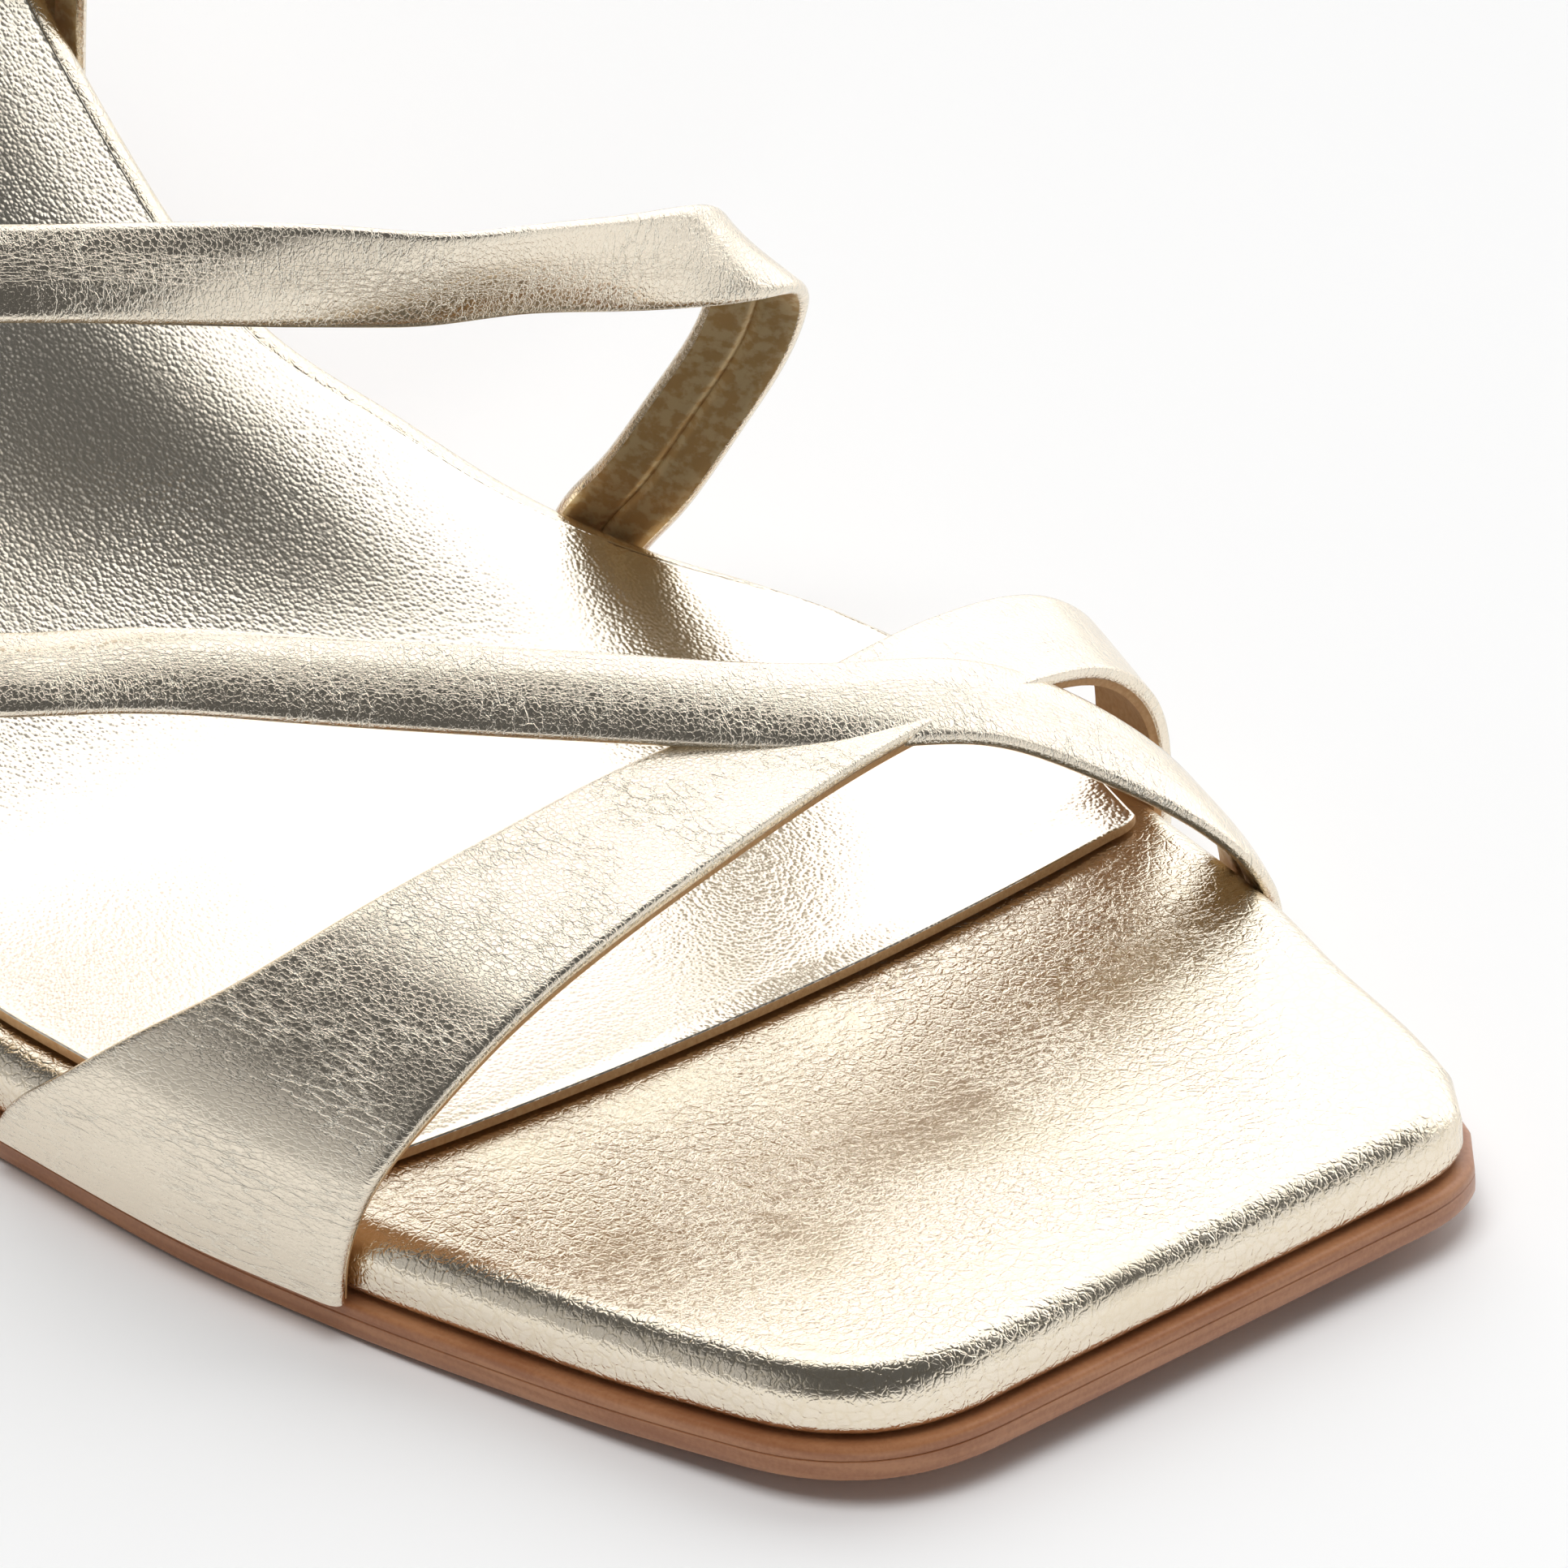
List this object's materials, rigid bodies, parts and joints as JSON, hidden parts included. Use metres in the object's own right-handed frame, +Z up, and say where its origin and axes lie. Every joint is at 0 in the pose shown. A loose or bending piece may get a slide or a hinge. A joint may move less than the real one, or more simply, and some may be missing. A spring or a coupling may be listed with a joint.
{
  "type": "heeled sandal",
  "caption": "Strappy high-heeled sandal with a square toe, a wide toe strap crossed by a narrow one, an instep strap and a buckled strap behind the ankle.",
  "frame": {"origin": "middle of the shoe's footprint, on the floor it stands on", "axes": "+X from the heel to the toe, +Y to the inner side of the right foot, +Z up"},
  "size_m": [0.2258, 0.0864, 0.1569],
  "materials": {
    "metallic leather": "champagne foil over fine grain",
    "sole leather": "smooth tan",
    "pale metal": "polished, pale gold",
    "top piece": "satin"
  },
  "bodies": {
    "root": {"outsole": "sole leather", "insole_board": "metallic leather", "insole_sock": "metallic leather", "heel": "metallic leather", "heel_top_piece": "top piece", "vamp_straps": "metallic leather", "instep_strap": "metallic leather", "back_strap": "metallic leather", "buckle_strap": "metallic leather", "keeper": "metallic leather", "buckle_frame": "pale metal", "buckle_prong": "pale metal"}
  },
  "joints": []
}
